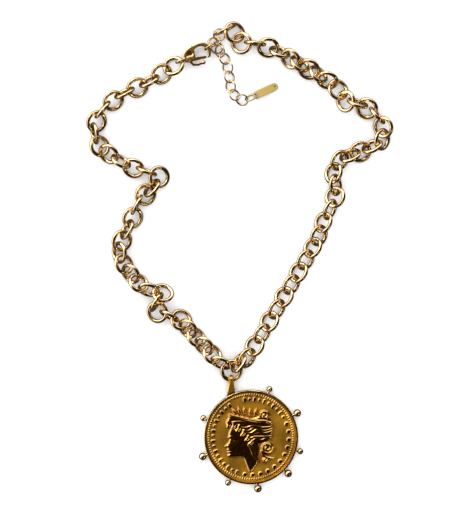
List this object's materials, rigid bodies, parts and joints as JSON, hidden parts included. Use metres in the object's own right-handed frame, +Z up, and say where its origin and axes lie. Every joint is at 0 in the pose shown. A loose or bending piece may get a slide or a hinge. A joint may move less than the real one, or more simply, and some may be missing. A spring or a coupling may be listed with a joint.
{
  "type": "coin necklace",
  "caption": "Lying cable chain necklace of round links with a studded coin pendant, a lobster clasp with a hinged lever, and a small-link extender with a plain tag.",
  "frame": {"origin": "under the middle of the whole necklace's bounding box, on the surface that it lies on", "axes": "+Z up, +Y from the pendant to the clasp, +X to the right of the picture"},
  "size_m": [0.1134, 0.1748, 0.009],
  "materials": {
    "bezel": "polished yellow gold plating",
    "chain_left": "polished yellow gold plating",
    "chain_right": "polished yellow gold plating",
    "clasp_body": "polished yellow gold plating",
    "clasp_lever": "polished yellow gold plating",
    "clasp_pin": "polished yellow gold plating",
    "coin": "polished yellow gold plating",
    "extender_chain": "polished yellow gold plating",
    "extender_ring": "polished yellow gold plating",
    "pendant_ring": "polished yellow gold plating",
    "tag": "polished yellow gold plating"
  },
  "bodies": {
    "necklace": {"bezel": "bezel", "chain_left": "chain_left", "chain_right": "chain_right", "clasp_body": "clasp_body", "clasp_pin": "clasp_pin", "coin": "coin", "extender_chain": "extender_chain", "extender_ring": "extender_ring", "pendant_ring": "pendant_ring", "tag": "tag"},
    "lever": {"clasp_lever": "clasp_lever"}
  },
  "joints": [
    {"name": "clasp_lever_hinge", "type": "hinge", "parent": "necklace", "child": "lever", "pos_m": [-0.01907, 0.07296, 0.0025], "axis": [0, 0, 1], "range_deg": [0, 22], "stiffness_Nm_per_rad": 0.0001, "springref_deg": -20.05}
  ]
}
